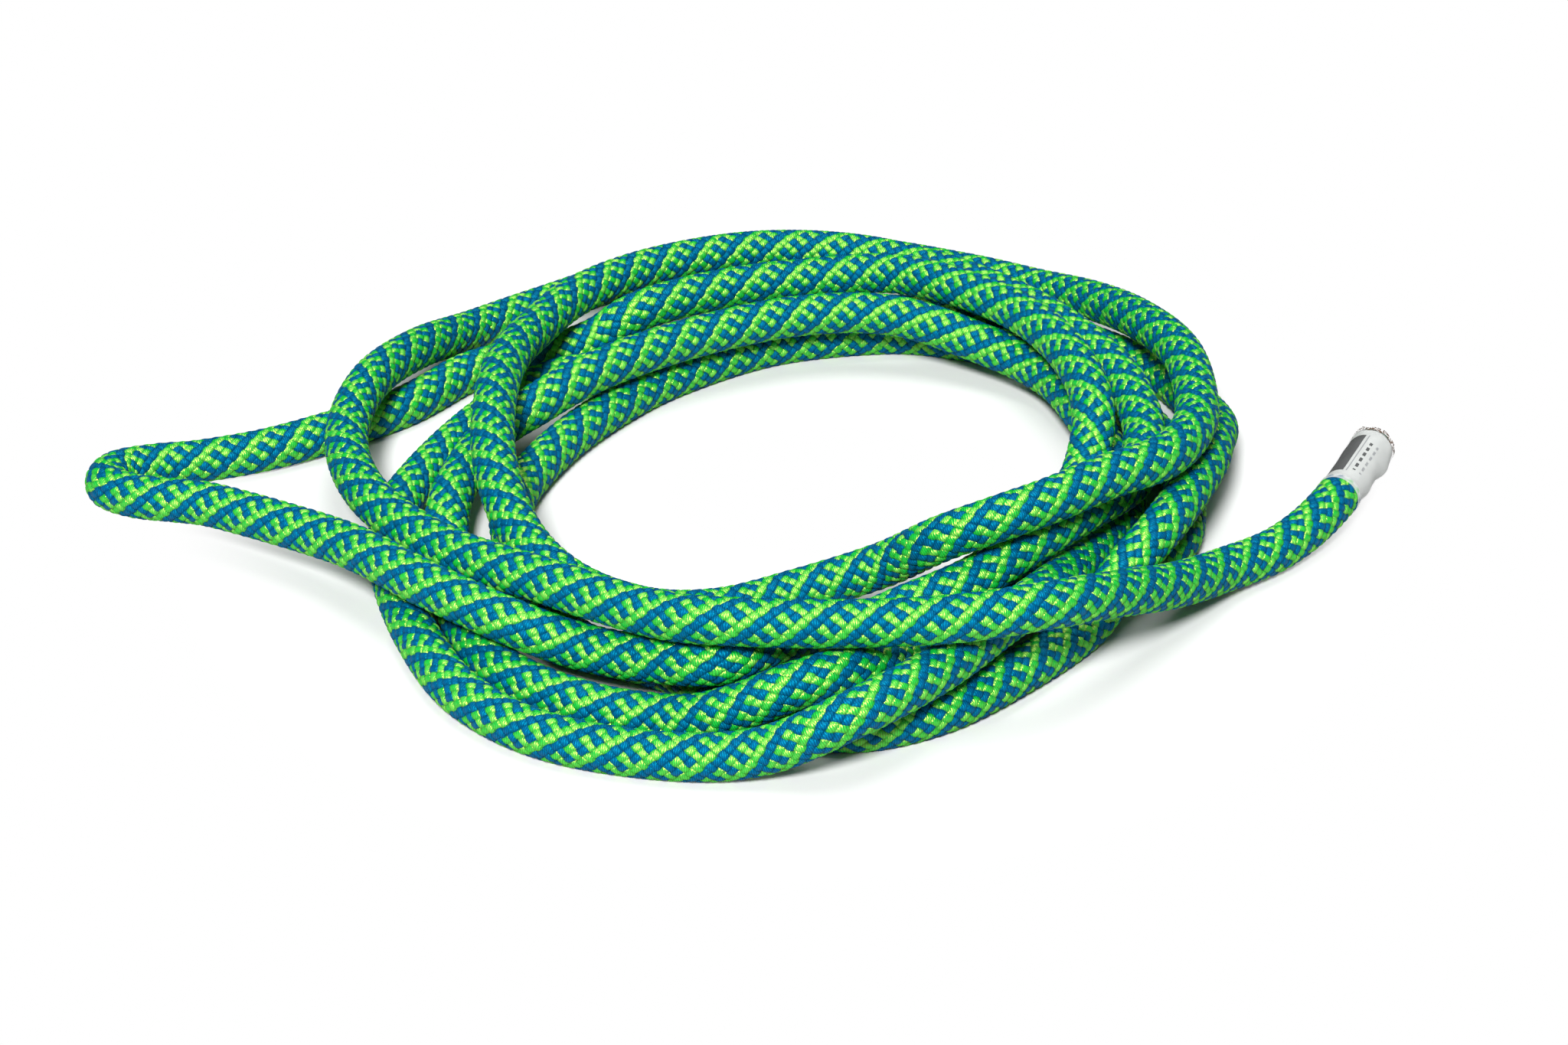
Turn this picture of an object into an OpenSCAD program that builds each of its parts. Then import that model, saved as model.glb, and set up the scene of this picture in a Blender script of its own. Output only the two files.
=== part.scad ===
// Dynamic climbing rope, put down in six loose turns beside one bight.
// Millimetres, Z up, floor at Z = 0. The origin is the middle of the rope's
// footprint on the floor. The labelled end lies to the right (+X).

/* [Rope] */
// diameter over the braided sheath
rope_d = 10; // [9:0.1:11]
// thickness of the sheath's wall
sheath_wall = 1.1; // [0.9:0.05:1.3]
// how far the turns are spread, against the coil as it was laid down
spread_ratio = 1; // [1:0.01:1.2]

/* [Core] */
// share of the room in the sheath that the seven core strands fill
core_fill = 0.92; // [0.7:0.01:0.95]

/* [Labelled end] */
// length of the printed label
label_l = 24; // [15:1:28]
// thickness of the label's film
label_wall = 0.2; // [0.15:0.05:0.3]
// thickness of the clear sleeve shrunk over the label
sleeve_wall = 0.3; // [0.2:0.05:0.4]
// how far the sleeve runs past the label
sleeve_lap = 1; // [0.5:0.5:2]

/* [Ends] */
// length of the fused tips
tip_l = 1.5; // [1:0.5:3]

/* [Hidden] */

sheath_colour = [0.16, 0.62, 0.2];
core_colour = [0.93, 0.92, 0.88];
label_colour = [0.88, 0.89, 0.88];
film_colour = [0.9, 0.94, 0.96, 0.4];
tip_colour = [0.12, 0.3, 0.2];

sides = 6;                               // of the sheath, one face down
core_sides = 4;                          // of a core strand, one corner out
film_gap = 0.05;                         // between films that lie on each other
fine_steps = 4;                          // parts of a segment in the gap's measure
apart = 3;                               // segments that are next to each other
grow = rope_d / 10;                      // the route is for a rope of 10 mm
middle = [7.75, -14.5, 0];               // from the route's zero to the footprint's
bore_r = rope_d / 2 - sheath_wall;
strand_step = bore_r * core_fill * 2 / 3;
strand_r = strand_step / 2 * core_fill;
label_r = rope_d / 2 + film_gap;
sleeve_r = label_r + label_wall + film_gap;

// The rope's middle line as it lies, from the labelled end to the plain one.
// Each point is [x, y, height over the floor], in mm, for a rope of 10 mm.
tail = [
    [136.5, 23.5, 6], [122.5, -3.5, 6], [110, -18, 4.5], [96, -30, 6], [83, -46, 12],
    [69, -62, 20], [54, -75, 25.5], [34, -81, 26], [10, -82, 25.5], [-12, -81, 25.5],
    [-27, -74, 23], [-50, -58.5, 21]];
turn_1 = [
    [-74, -37, 16.5], [-92, -13, 15], [-100, 14, 14], [-97.5, 39, 15],
    [-88.5, 60.5, 12.5], [-77, 83, 6], [-62, 99, 4], [-37, 117, 4], [-9, 127, 4],
    [20, 128, 4], [46, 119, 4], [64.5, 105.5, 6], [77.5, 86.5, 12], [86.5, 64.5, 18],
    [93, 41, 22], [94, 18, 23], [91, -1, 25], [83, -17, 27], [70, -28, 28.5],
    [57, -38, 28.5], [45, -43.5, 27], [33, -43.5, 22], [21, -37, 11.5], [3, -38, 5.5],
    [-14, -45, 5], [-30, -50, 8.5], [-45.5, -48.5, 14.5]];
turn_2 = [
    [-57, -31, 16], [-64, -8, 19.5], [-66, 16, 21.5], [-65, 39, 20.5],
    [-60, 61, 17.5], [-50, 82, 16.5], [-32, 100, 15], [-7, 110, 14.5],
    [19, 108, 14.5], [43, 95, 14.5], [63, 75, 14.5], [77, 50, 14.5], [82, 29, 14.5],
    [82, 10, 14.5], [77, -8, 15.5], [66, -24, 18], [53, -37, 17.5], [40, -46, 13.5],
    [26, -51.5, 10], [12, -59.5, 8.5], [0, -71, 14.5], [-13, -79, 14.5],
    [-27, -74.5, 12], [-42, -69, 11.5], [-57, -64, 14.5], [-76, -50, 15]];
bight = [
    [-90, -36, 14], [-103, -24.5, 12], [-126, -10.5, 10.5], [-136, -7, 10],
    [-145.5, -3.5, 9], [-153, 2.5, 8], [-153, 11.5, 6.5], [-145, 17.5, 5],
    [-134, 20.5, 4.5], [-116, 28, 4.5], [-92, 46, 4]];
turn_3 = [
    [-76, 65, 4], [-59, 72, 4.5], [-47, 76, 7], [-35, 80, 13], [-14, 89, 14.5],
    [9, 94, 15], [27, 92, 17], [42, 81, 19], [57, 65, 20], [67, 44, 20], [71, 22, 18],
    [68, 5, 11], [60, -11, 5.5], [50.5, -33, 4], [42.5, -53.5, 4], [26, -69, 8],
    [14, -82, 14.5], [2, -88, 14.5], [-10, -88, 9], [-22, -85, 4.5], [-41.5, -79, 4],
    [-60, -65, 4], [-70, -43, 4], [-74, -21, 4]];
turn_4 = [
    [-75, -3, 8], [-68, 23, 9.5], [-58.5, 33, 12], [-43, 47, 14.5], [-21, 63, 14.5],
    [4, 74, 14.5], [27, 75, 14], [48, 68, 10], [63, 56, 8], [70, 38.5, 8],
    [76, 19, 4.5], [77, 0, 4], [71, -15, 4.5], [63, -31, 6.5], [54, -49, 11],
    [44, -66, 14.5], [31, -83, 15], [13, -98, 14], [-5, -99, 6], [-25, -97.5, 4],
    [-48.5, -90.5, 4], [-66, -76, 4], [-77, -55.5, 4], [-85, -31, 4]];
turn_5 = [
    [-88, -6, 4], [-83.5, 14, 4], [-72, 40, 4], [-58, 59, 4], [-41, 67, 4],
    [-20, 82, 4], [3, 92, 4], [27, 95, 4], [46, 92, 4], [64, 86.5, 4],
    [78.5, 76.5, 4], [91, 64, 4], [97.5, 47.5, 5.5], [101, 31, 8], [98, 14, 12.5],
    [94, -1, 14.5], [83, -26, 15.5], [73, -39, 11], [64.5, -49.5, 4], [49, -67, 4],
    [31, -82, 4], [12, -88, 4], [-4, -80, 4], [-26, -65, 4], [-42.5, -57, 4],
    [-54, -40, 4]];
turn_6 = [
    [-59, -20, 4], [-61.5, 2, 4], [-54, 25, 4], [-41.5, 45.5, 4], [-26, 62.5, 4],
    [-2.5, 78, 4], [25, 84, 4], [43, 81, 4], [58, 74, 4], [72, 61, 4], [85, 40, 4],
    [91, 17, 4], [90, -5, 4], [86.5, -17, 4], [79.5, -24.5, 5]];

flat_grow = grow * spread_ratio;
route = [for (run = [tail, turn_1, turn_2, bight, turn_3, turn_4, turn_5, turn_6])
    for (p = run) [(p.x + middle.x) * flat_grow, (p.y + middle.y) * flat_grow, p.z * grow]];
last = len(route) - 1;

function unit(v) = v / norm(v);
function heading(i) = i == 0 ? unit(route[1] - route[0])
    : i == last ? unit(route[last] - route[last - 1])
    : unit(unit(route[i] - route[i - 1]) + unit(route[i + 1] - route[i]));
function across(i) = unit(cross(heading(i), [0, 0, 1]));
function upright(i) = cross(across(i), heading(i));

// The section at route point i, round a line that lies off the rope's own
// by reach at angle turn; nothing reaches below the floor.
function section(i, r, n, first, reach = 0, turn = 0) = [for (k = [0:n - 1])
    let (a = first + k * 360 / n,
        p = route[i] + across(i) * (reach * cos(turn) + r * cos(a))
            + upright(i) * (reach * sin(turn) + r * sin(a)))
    [p.x, p.y, max(p.z, 0)]];
function skin(n, base, rows, out) = [for (i = [0:rows - 2], k = [0:n - 1], half = [0, 1])
    let (a = base + i * n + k, b = base + i * n + (k + 1) % n,
        face = half == 0 ? [a, b, a + n] : [b, b + n, a + n])
    out ? face : [face[2], face[1], face[0]]];

// a closed tube that follows the whole route
module strand(reach, turn) {
    rows = last + 1;
    n = core_sides;
    points = [for (i = [0:last]) each section(i, strand_r, n, turn, reach, turn)];
    ends = [for (k = [1:n - 2]) each [[0, k + 1, k],
        [last * n, last * n + k, last * n + k + 1]]];
    color(core_colour) polyhedron(points, concat(skin(n, 0, rows, true), ends));
}

// the braided tube, open at both ends
module sheath() {
    rows = last + 1;
    n = sides;
    outer = [for (i = [0:last]) each section(i, rope_d / 2, n, 0)];
    inner = [for (i = [0:last]) each section(i, bore_r, n, 0)];
    base = len(outer);
    ends = [for (k = [0:n - 1]) let (m = (k + 1) % n, o = last * n) each [
        [k, base + k, m], [m, base + k, base + m],
        [o + k, o + m, base + o + k], [o + m, base + o + m, base + o + k]]];
    color(sheath_colour) polyhedron(concat(outer, inner),
        concat(skin(n, 0, rows, true), skin(n, base, rows, false), ends));
}

module core_middle() strand(0, 0);
module core_strand_1() strand(strand_step, 0);
module core_strand_2() strand(strand_step, 60);
module core_strand_3() strand(strand_step, 120);
module core_strand_4() strand(strand_step, 180);
module core_strand_5() strand(strand_step, 240);
module core_strand_6() strand(strand_step, 300);

// puts a child that stands on Z = 0 at one end of the rope, pointing outwards
module at_end(i, way) {
    x = across(i);
    z = heading(i) * way;
    y = cross(z, x);
    p = route[i];
    multmatrix([[x.x, y.x, z.x, p.x], [x.y, y.y, z.y, p.y], [x.z, y.z, z.z, p.z],
        [0, 0, 0, 1]]) children();
}

module pipe(r, wall, l) difference() {
    cylinder(r = r + wall, h = l, $fn = 48);
    translate([0, 0, -1]) cylinder(r = r, h = l + 2, $fn = 48);
}

// the printed film round the rope
module label() color(label_colour) at_end(0, -1)
    translate([0, 0, -label_l]) pipe(label_r, label_wall, label_l);

// the clear tube shrunk over the label
module clear_sleeve() color(film_colour) at_end(0, -1)
    translate([0, 0, -label_l - sleeve_lap])
        pipe(sleeve_r, sleeve_wall, label_l + 2 * sleeve_lap);

// the melted end of the rope, in the sleeve
module labelled_tip() color(tip_colour) at_end(0, -1)
    cylinder(r = rope_d / 2 - film_gap, h = tip_l, $fn = 48);

// the melted end of the rope, under the coil
module plain_tip() color(tip_colour) at_end(last, 1)
    cylinder(r = rope_d / 2 - 0.2, h = tip_l, $fn = 48);

// The rope's least gap to itself, measured on points along the whole route.
fine = [for (i = [0:last - 1], k = [0:fine_steps - 1])
    route[i] + (route[i + 1] - route[i]) * k / fine_steps];
near = apart * fine_steps;
least = min([for (i = [0:len(fine) - near - 1]) min([for (j = [i + near:len(fine) - 1])
    norm(fine[i] - fine[j])])]) - rope_d;
run_l = [for (i = [0:last - 1]) norm(route[i + 1] - route[i])];
function total(list, i = 0) = i == len(list) ? 0 : list[i] + total(list, i + 1);
echo(least_gap_mm = least, rope_length_mm = total(run_l), route_points = len(route));

sheath();
core_middle();
core_strand_1();
core_strand_2();
core_strand_3();
core_strand_4();
core_strand_5();
core_strand_6();
label();
clear_sleeve();
labelled_tip();
plain_tip();
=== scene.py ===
import math

import bmesh
import bpy
import numpy as np
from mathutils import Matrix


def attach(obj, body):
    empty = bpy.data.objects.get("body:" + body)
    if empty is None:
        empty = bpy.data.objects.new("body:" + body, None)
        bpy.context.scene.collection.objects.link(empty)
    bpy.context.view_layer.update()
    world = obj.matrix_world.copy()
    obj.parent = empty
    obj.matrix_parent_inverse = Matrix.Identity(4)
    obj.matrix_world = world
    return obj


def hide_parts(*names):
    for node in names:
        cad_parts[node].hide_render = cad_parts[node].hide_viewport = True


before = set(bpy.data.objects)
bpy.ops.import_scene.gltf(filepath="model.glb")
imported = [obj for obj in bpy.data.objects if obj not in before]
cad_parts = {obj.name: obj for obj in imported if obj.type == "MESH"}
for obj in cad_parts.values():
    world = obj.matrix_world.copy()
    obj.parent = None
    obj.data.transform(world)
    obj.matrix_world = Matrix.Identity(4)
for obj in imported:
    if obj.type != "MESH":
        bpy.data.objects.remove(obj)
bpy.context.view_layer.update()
print("frame loaded:", len(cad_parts), "nodes")


viewSizes = {
    "place": (0.00775, -0.6469, 0.380),   # metres, seen from the front
    "down": 31.0,                         # degrees below level
    "lens": 74.6,                         # mm
    "sensor": 36.0,                       # mm
    "nearest": 0.01,                      # of what the camera sees
}


def makeCamera(sizes):
    camera = bpy.data.objects.new("camera", bpy.data.cameras.new("camera"))
    camera.location = sizes["place"]
    camera.rotation_euler = (math.radians(90 - sizes["down"]), 0, 0)
    camera.data.lens = sizes["lens"]
    camera.data.sensor_width = sizes["sensor"]
    camera.data.clip_start = sizes["nearest"]
    bpy.context.scene.collection.objects.link(camera)
    bpy.context.scene.camera = camera


makeCamera(viewSizes)


ropeSizes = {
    "diameter": 0.010,
    "shift": (7.75, -14.5, 0),            # mm, added to each point below
    "cuts": 20,                           # of the curve between two points
    "step": 0.002,                        # between the even line's points
}

# The middle line in mm, from the labelled end to the plain one.
tail = [
    (136.5, 23.5, 6), (122.5, -3.5, 6), (110, -18, 4.5), (96, -30, 6), (83, -46, 12),
    (69, -62, 20), (54, -75, 25.5), (34, -81, 26), (10, -82, 25.5), (-12, -81, 25.5),
    (-27, -74, 23), (-50, -58.5, 21)]
turn1 = [
    (-74, -37, 16.5), (-92, -13, 15), (-100, 14, 14), (-97.5, 39, 15),
    (-88.5, 60.5, 12.5), (-77, 83, 6), (-62, 99, 4), (-37, 117, 4), (-9, 127, 4),
    (20, 128, 4), (46, 119, 4), (64.5, 105.5, 6), (77.5, 86.5, 12), (86.5, 64.5, 18),
    (93, 41, 22), (94, 18, 23), (91, -1, 25), (83, -17, 27), (70, -28, 28.5),
    (57, -38, 28.5), (45, -43.5, 27), (33, -43.5, 22), (21, -37, 11.5), (3, -38, 5.5),
    (-14, -45, 5), (-30, -50, 8.5), (-45.5, -48.5, 14.5)]
turn2 = [
    (-57, -31, 16), (-64, -8, 19.5), (-66, 16, 21.5), (-65, 39, 20.5),
    (-60, 61, 17.5), (-50, 82, 16.5), (-32, 100, 15), (-7, 110, 14.5),
    (19, 108, 14.5), (43, 95, 14.5), (63, 75, 14.5), (77, 50, 14.5), (82, 29, 14.5),
    (82, 10, 14.5), (77, -8, 15.5), (66, -24, 18), (53, -37, 17.5), (40, -46, 13.5),
    (26, -51.5, 10), (12, -59.5, 8.5), (0, -71, 14.5), (-13, -79, 14.5),
    (-27, -74.5, 12), (-42, -69, 11.5), (-57, -64, 14.5), (-76, -50, 15)]
bight = [
    (-90, -36, 14), (-103, -24.5, 12), (-126, -10.5, 10.5), (-136, -7, 10),
    (-145.5, -3.5, 9), (-153, 2.5, 8), (-153, 11.5, 6.5), (-145, 17.5, 5),
    (-134, 20.5, 4.5), (-116, 28, 4.5), (-92, 46, 4)]
turn3 = [
    (-76, 65, 4), (-59, 72, 4.5), (-47, 76, 7), (-35, 80, 13), (-14, 89, 14.5),
    (9, 94, 15), (27, 92, 17), (42, 81, 19), (57, 65, 20), (67, 44, 20), (71, 22, 18),
    (68, 5, 11), (60, -11, 5.5), (50.5, -33, 4), (42.5, -53.5, 4), (26, -69, 8),
    (14, -82, 14.5), (2, -88, 14.5), (-10, -88, 9), (-22, -85, 4.5), (-41.5, -79, 4),
    (-60, -65, 4), (-70, -43, 4), (-74, -21, 4)]
turn4 = [
    (-75, -3, 8), (-68, 23, 9.5), (-58.5, 33, 12), (-43, 47, 14.5), (-21, 63, 14.5),
    (4, 74, 14.5), (27, 75, 14), (48, 68, 10), (63, 56, 8), (70, 38.5, 8),
    (76, 19, 4.5), (77, 0, 4), (71, -15, 4.5), (63, -31, 6.5), (54, -49, 11),
    (44, -66, 14.5), (31, -83, 15), (13, -98, 14), (-5, -99, 6), (-25, -97.5, 4),
    (-48.5, -90.5, 4), (-66, -76, 4), (-77, -55.5, 4), (-85, -31, 4)]
turn5 = [
    (-88, -6, 4), (-83.5, 14, 4), (-72, 40, 4), (-58, 59, 4), (-41, 67, 4),
    (-20, 82, 4), (3, 92, 4), (27, 95, 4), (46, 92, 4), (64, 86.5, 4),
    (78.5, 76.5, 4), (91, 64, 4), (97.5, 47.5, 5.5), (101, 31, 8), (98, 14, 12.5),
    (94, -1, 14.5), (83, -26, 15.5), (73, -39, 11), (64.5, -49.5, 4), (49, -67, 4),
    (31, -82, 4), (12, -88, 4), (-4, -80, 4), (-26, -65, 4), (-42.5, -57, 4),
    (-54, -40, 4)]
turn6 = [
    (-59, -20, 4), (-61.5, 2, 4), (-54, 25, 4), (-41.5, 45.5, 4), (-26, 62.5, 4),
    (-2.5, 78, 4), (25, 84, 4), (43, 81, 4), (58, 74, 4), (72, 61, 4), (85, 40, 4),
    (91, 17, 4), (90, -5, 4), (86.5, -17, 4), (79.5, -24.5, 5)]


def ropeLine(sizes):
    # a smooth line through the points, cut into equal steps
    listed = tail + turn1 + turn2 + bight + turn3 + turn4 + turn5 + turn6
    knots = (np.array(listed, float) + sizes["shift"]) / 1000
    padded = np.vstack([2 * knots[0] - knots[1], knots, 2 * knots[-1] - knots[-2]])
    a, b, c, d = padded[:-3], padded[1:-2], padded[2:-1], padded[3:]
    t = np.linspace(0, 1, sizes["cuts"], endpoint=False)[:, None, None]
    fine = 0.5 * (2 * b + (c - a) * t + (2 * a - 5 * b + 4 * c - d) * t ** 2
                  + (3 * b - a - 3 * c + d) * t ** 3)
    fine = np.vstack([fine.transpose(1, 0, 2).reshape(-1, 3), knots[-1:]])
    reach = np.concatenate([[0], np.cumsum(np.linalg.norm(np.diff(fine, axis=0), axis=1))])
    even = np.linspace(0, reach[-1], round(reach[-1] / sizes["step"]) + 1)
    return np.stack([np.interp(even, reach, fine[:, k]) for k in range(3)], 1), reach[-1]


def lineObject(name, points):
    curve = bpy.data.curves.new(name, "CURVE")
    curve.dimensions = "3D"
    spline = curve.splines.new("POLY")
    spline.points.add(len(points) - 1)
    spline.points.foreach_set("co", np.c_[points, np.ones(len(points))].ravel())
    line = bpy.data.objects.new(name, curve)
    bpy.context.scene.collection.objects.link(line)
    return line


middleLine, lineLength = ropeLine(ropeSizes)
guide = lineObject("guideLine", middleLine)
print("rope line:", round(lineLength, 3), "m,", len(middleLine), "points")


def addNode(tree, kind, inputs=(), **settings):
    node = tree.nodes.new(kind)
    for name, value in settings.items():
        setattr(node, name, value)
    for place, value in dict(inputs).items():
        if isinstance(value, bpy.types.NodeSocket):
            tree.links.new(value, node.inputs[place])
        else:
            node.inputs[place].default_value = value
    return node


def calc(tree, operation, a, b=0.0):
    return addNode(tree, "ShaderNodeMath", {0: a, 1: b}, operation=operation).outputs[0]


def vectorCalc(tree, operation, a, b=(0, 0, 0)):
    inputs = {0: a, 3 if operation == "SCALE" else 1: b}
    return addNode(tree, "ShaderNodeVectorMath", inputs, operation=operation).outputs[0]


def newTree(name, kind, inputs, outputs):
    tree = bpy.data.node_groups.new(name, kind)
    for socketName, socketType in inputs:
        tree.interface.new_socket(socketName, in_out="INPUT", socket_type=socketType)
    for socketName, socketType in outputs:
        tree.interface.new_socket(socketName, in_out="OUTPUT", socket_type=socketType)
    return tree, addNode(tree, "NodeGroupInput"), addNode(tree, "NodeGroupOutput")


def bakedPiece(name, tree, values):
    # runs the tree on an empty mesh and keeps what it makes as a plain mesh
    piece = bpy.data.objects.new(name, bpy.data.meshes.new(name))
    bpy.context.scene.collection.objects.link(piece)
    modifier = piece.modifiers.new("make", "NODES")
    modifier.node_group = tree
    for item in tree.interface.items_tree:
        if item.in_out == "INPUT" and item.name in values:
            modifier[item.identifier] = values[item.name]
    depsgraph = bpy.context.evaluated_depsgraph_get()
    made = bpy.data.meshes.new_from_object(piece.evaluated_get(depsgraph))
    piece.modifiers.remove(modifier)
    piece.data = made
    made.name = name
    return piece


def newMaterial(name, **plain):
    material = bpy.data.materials.new(name)
    material.use_nodes = True
    tree = material.node_tree
    shader = tree.nodes["Principled BSDF"]
    for socket, value in plain.items():
        shader.inputs[socket.replace("_", " ")].default_value = value
    return material, tree, shader


def colourMix(tree, share, first, second):
    node = addNode(tree, "ShaderNodeMix", data_type="RGBA")
    for place, value in ((0, share), (6, first), (7, second)):
        if isinstance(value, bpy.types.NodeSocket):
            tree.links.new(value, node.inputs[place])
        else:
            node.inputs[place].default_value = value if place == 0 else (*value, 1)
    return node.outputs[2]


def spotNoise(tree, scale, detail):
    return addNode(tree, "ShaderNodeTexNoise", {
        "Vector": addNode(tree, "ShaderNodeTexCoord").outputs["Object"],
        "Scale": scale, "Detail": detail}).outputs[0]


def addBump(tree, shader, strength, depth, height):
    bump = addNode(tree, "ShaderNodeBump", {
        "Strength": strength, "Distance": depth, "Height": height})
    tree.links.new(bump.outputs[0], shader.inputs["Normal"])


yarnLooks = {
    "ridgeStep": 0.00044,                 # between the ridges of the yarn's twist
    "ridgeDepth": 0.00004,
    "ridgeStrength": 1.0,
    "waver": 0.8,                         # how far the ridges wander, in ridges
    # painted shade: the share of the colour's light that is left between two ridges
    "valley": 0.35,                       # light left between two ridges
    # painted light: how far the lit middle of a float reaches before painted shade at its ends
    # and edges
    "crownLight": 0.6,                         # lower makes the lit middle of a float wider
    "mottle": 0.4,
    "spotScale": 700.0,
    "spotDetail": 3.0,
    # Each dye is given as a shaded and a lit copy. Painted light on the floats, painted shade
    # between the ridges and the mottle choose between them.
    "green": ((0.0005, 0.19, 0.035), (0.003, 0.78, 0.075)),
    "greenGloss": (0.92, 1.0, 0.2),
    "greenShine": {"Roughness": 0.43, "IOR": 2.15, "Specular_IOR_Level": 1.0,
                   "Anisotropic": 0.85, "Anisotropic_Rotation": 0.25},
    # the blue dye's shaded and lit copies, chosen between as for the green
    "blue": ((0.0002, 0.028, 0.07), (0.0005, 0.13, 0.31)),
    "blueGloss": (0.01, 0.75, 1.0),
    "blueShine": {"Roughness": 0.45, "IOR": 1.5, "Specular_IOR_Level": 0.9,
                  "Anisotropic": 0.85, "Anisotropic_Rotation": 0.25},
}


def pliedYarnGroup(looks):
    # a braided yarn's twist, whose ridges lie straight across the rope, on each float, and the
    # painted light that brightens the middle of each float
    tree, given, result = newTree(
        "pliedYarn", "ShaderNodeTree",
        [("Ridge Step", "NodeSocketFloat")],
        [("Ridge", "NodeSocketFloat"), ("Crown Light", "NodeSocketFloat"),
         ("Blotch", "NodeSocketFloat")])
    place = addNode(tree, "ShaderNodeUVMap", uv_map="yarn").outputs[0]
    parts = addNode(tree, "ShaderNodeSeparateXYZ", {0: place})
    along = addNode(tree, "ShaderNodeAttribute", attribute_name="alongRope").outputs["Fac"]
    spots = spotNoise(tree, looks["spotScale"], looks["spotDetail"])
    turns = calc(tree, "ADD", calc(tree, "DIVIDE", along, given.outputs["Ridge Step"]),
                 calc(tree, "MULTIPLY", spots, looks["waver"]))
    wave = calc(tree, "SINE", calc(tree, "MULTIPLY", turns, 2 * math.pi))
    ridge = calc(tree, "ADD", calc(tree, "MULTIPLY", wave, 0.5), 0.5)
    # painted light: each float is lit in its middle and shaded towards its ends and edges, where
    # it dives under its neighbours
    acrossCrown = calc(tree, "SINE", calc(tree, "MULTIPLY", parts.outputs[1], math.pi))
    alongCrown = calc(tree, "SINE", calc(tree, "MULTIPLY", parts.outputs[0], math.pi))
    crownLight = calc(tree, "POWER", calc(tree, "MULTIPLY", acrossCrown, alongCrown),
                 looks["crownLight"])
    tree.links.new(ridge, result.inputs["Ridge"])
    tree.links.new(crownLight, result.inputs["Crown Light"])
    tree.links.new(spots, result.inputs["Blotch"])
    return tree


pliedYarn = pliedYarnGroup(yarnLooks)


def yarnMaterial(name, dye, looks):
    material, tree, shader = newMaterial(name, **looks[dye + "Shine"])
    shader.inputs["Specular Tint"].default_value = (*looks[dye + "Gloss"], 1)
    yarn = addNode(tree, "ShaderNodeGroup", node_tree=pliedYarn)
    yarn.inputs["Ridge Step"].default_value = looks["ridgeStep"]
    # Painted shade between the ridges and painted light on the middle of each float, together
    # with the mottle, pick the colour between the dye's shaded and lit copies.
    ridgeShade = calc(tree, "ADD", looks["valley"], calc(
        tree, "MULTIPLY", yarn.outputs["Ridge"], 1 - looks["valley"]))
    lit = calc(tree, "MULTIPLY", yarn.outputs["Crown Light"], ridgeShade)
    litAndMottled = calc(tree, "ADD", lit, calc(tree, "MULTIPLY", calc(
        tree, "SUBTRACT", yarn.outputs["Blotch"], 0.5), looks["mottle"]))
    tree.links.new(colourMix(tree, litAndMottled, *looks[dye]), shader.inputs["Base Color"])
    addBump(tree, shader, looks["ridgeStrength"], looks["ridgeDepth"], yarn.outputs["Ridge"])
    # filaments lie along their yarn, so the gloss spreads across it and not along it
    way = addNode(tree, "ShaderNodeAttribute", attribute_name="yarnWay")
    tree.links.new(way.outputs["Vector"], shader.inputs["Tangent"])
    return material


greenYarn = yarnMaterial("greenNylon", "green", yarnLooks)
blueYarn = yarnMaterial("blueNylon", "blue", yarnLooks)


# The ground under the floats is painted near black, as painted shade in the gaps between the
# floats.
groundLooks = {
    "colours": ((0.001, 0.03, 0.03), (0.003, 0.09, 0.05)),
    "roughness": 0.8,
    "spotScale": 2500.0,
    "spotDetail": 4.0,
    "spotDepth": 0.0001,
    "spotStrength": 0.5,
}
coreLooks = {
    "colours": ((0.72, 0.70, 0.64), (0.9, 0.89, 0.85)),
    "roughness": 0.6,
    "spotScale": 1800.0,
    "spotDetail": 4.0,
    "spotDepth": 0.0002,
    "spotStrength": 0.5,
}


def noiseMaterial(name, looks):
    material, tree, shader = newMaterial(name, Roughness=looks["roughness"])
    spots = spotNoise(tree, looks["spotScale"], looks["spotDetail"])
    tree.links.new(colourMix(tree, spots, *looks["colours"]), shader.inputs["Base Color"])
    addBump(tree, shader, looks["spotStrength"], looks["spotDepth"], spots)
    return material


shadedBraidGround = noiseMaterial("shadedBraidGround", groundLooks)
coreNylon = noiseMaterial("coreNylon", coreLooks)
print("yarn and core materials made")


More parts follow.
